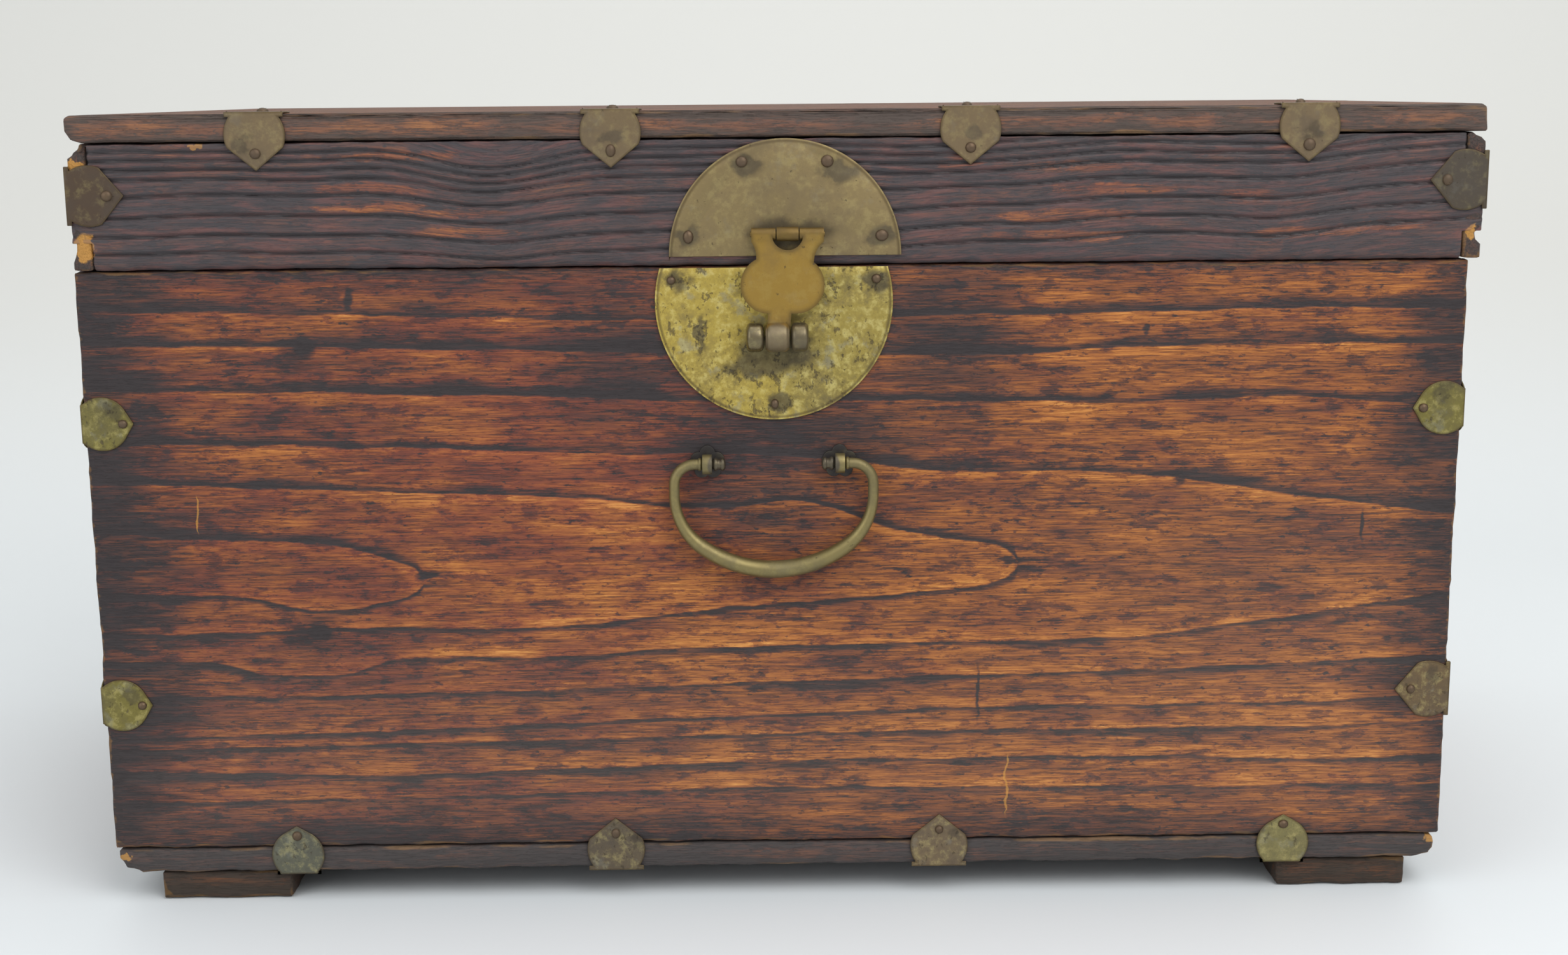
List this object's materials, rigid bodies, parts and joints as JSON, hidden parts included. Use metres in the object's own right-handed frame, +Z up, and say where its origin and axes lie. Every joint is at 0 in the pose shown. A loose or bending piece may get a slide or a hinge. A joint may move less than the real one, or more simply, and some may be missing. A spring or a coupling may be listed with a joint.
{
  "type": "wedding chest",
  "caption": "Low lidded wooden chest on two batten feet, with a hinged finger-jointed lid, brass lock plate and hasp, corner straps and a drop handle.",
  "frame": {"origin": "on the floor, under the middle of the whole chest", "axes": "+X along the front from left to right, +Y from the front to the back, +Z up"},
  "size_m": [0.7106, 0.393, 0.4133],
  "materials": {
    "box_wood": "stained and rubbed, worn",
    "lid_wood": "dark stained, worn in ridges",
    "foot_wood": "rough, unfinished",
    "tan_brass": "dull, spotted",
    "yellow_brass": "dull, pitted",
    "hasp_brass": "rubbed",
    "barrel_brass": "grey patina",
    "dark_brass": "blackened",
    "handle_brass": "olive patina, rubbed",
    "hinge_brass": "dull",
    "bronze_strap": "dark bronze patina",
    "green_strap": "yellow-olive patina",
    "old_nails": "dark, worn"
  },
  "bodies": {
    "box": {"back_board": "box_wood", "base_straps": "green_strap", "bottom_board": "box_wood", "box_back_straps": "green_strap", "box_corner_straps": "green_strap", "box_hinge_nails": "old_nails", "box_lock_plate": "yellow_brass", "box_plate_nails": "old_nails", "box_strap_nails": "old_nails", "front_board": "box_wood", "handle_post_left": "handle_brass", "handle_post_right": "handle_brass", "handle_rosette_left": "dark_brass", "handle_rosette_right": "dark_brass", "hinge_box_leaves": "hinge_brass", "hinge_pins": "hinge_brass", "left_board": "box_wood", "left_foot": "foot_wood", "lock_staple_left": "barrel_brass", "lock_staple_right": "barrel_brass", "right_board": "box_wood", "right_foot": "foot_wood"},
    "lid": {"hasp_eye": "hasp_brass", "hasp_pin": "hasp_brass", "hinge_lid_leaves": "hinge_brass", "lid_back_board": "lid_wood", "lid_back_straps": "bronze_strap", "lid_corner_straps": "bronze_strap", "lid_edge_straps": "bronze_strap", "lid_front_board": "lid_wood", "lid_hinge_nails": "old_nails", "lid_left_board": "lid_wood", "lid_lock_plate": "tan_brass", "lid_plate_nails": "old_nails", "lid_right_board": "lid_wood", "lid_strap_nails": "old_nails", "lid_top_board": "lid_wood"},
    "hasp": {"hasp": "hasp_brass"},
    "handle": {"handle_bail": "handle_brass"}
  },
  "joints": [
    {"name": "lid_hinge", "type": "hinge", "parent": "box", "child": "lid", "pos_m": [-0.0015, 0.1932, 0.3335], "axis": [-1, 0, 0], "range_deg": [0, 180]},
    {"name": "hasp_swing", "type": "hinge", "parent": "lid", "child": "hasp", "pos_m": [0.0055, -0.1874, 0.3495], "axis": [-1, 0, 0], "range_deg": [0, 165]},
    {"name": "handle_swing", "type": "hinge", "parent": "box", "child": "handle", "pos_m": [-0.0025, -0.1875, 0.2338], "axis": [-1, 0, 0], "range_deg": [0, 170]}
  ]
}
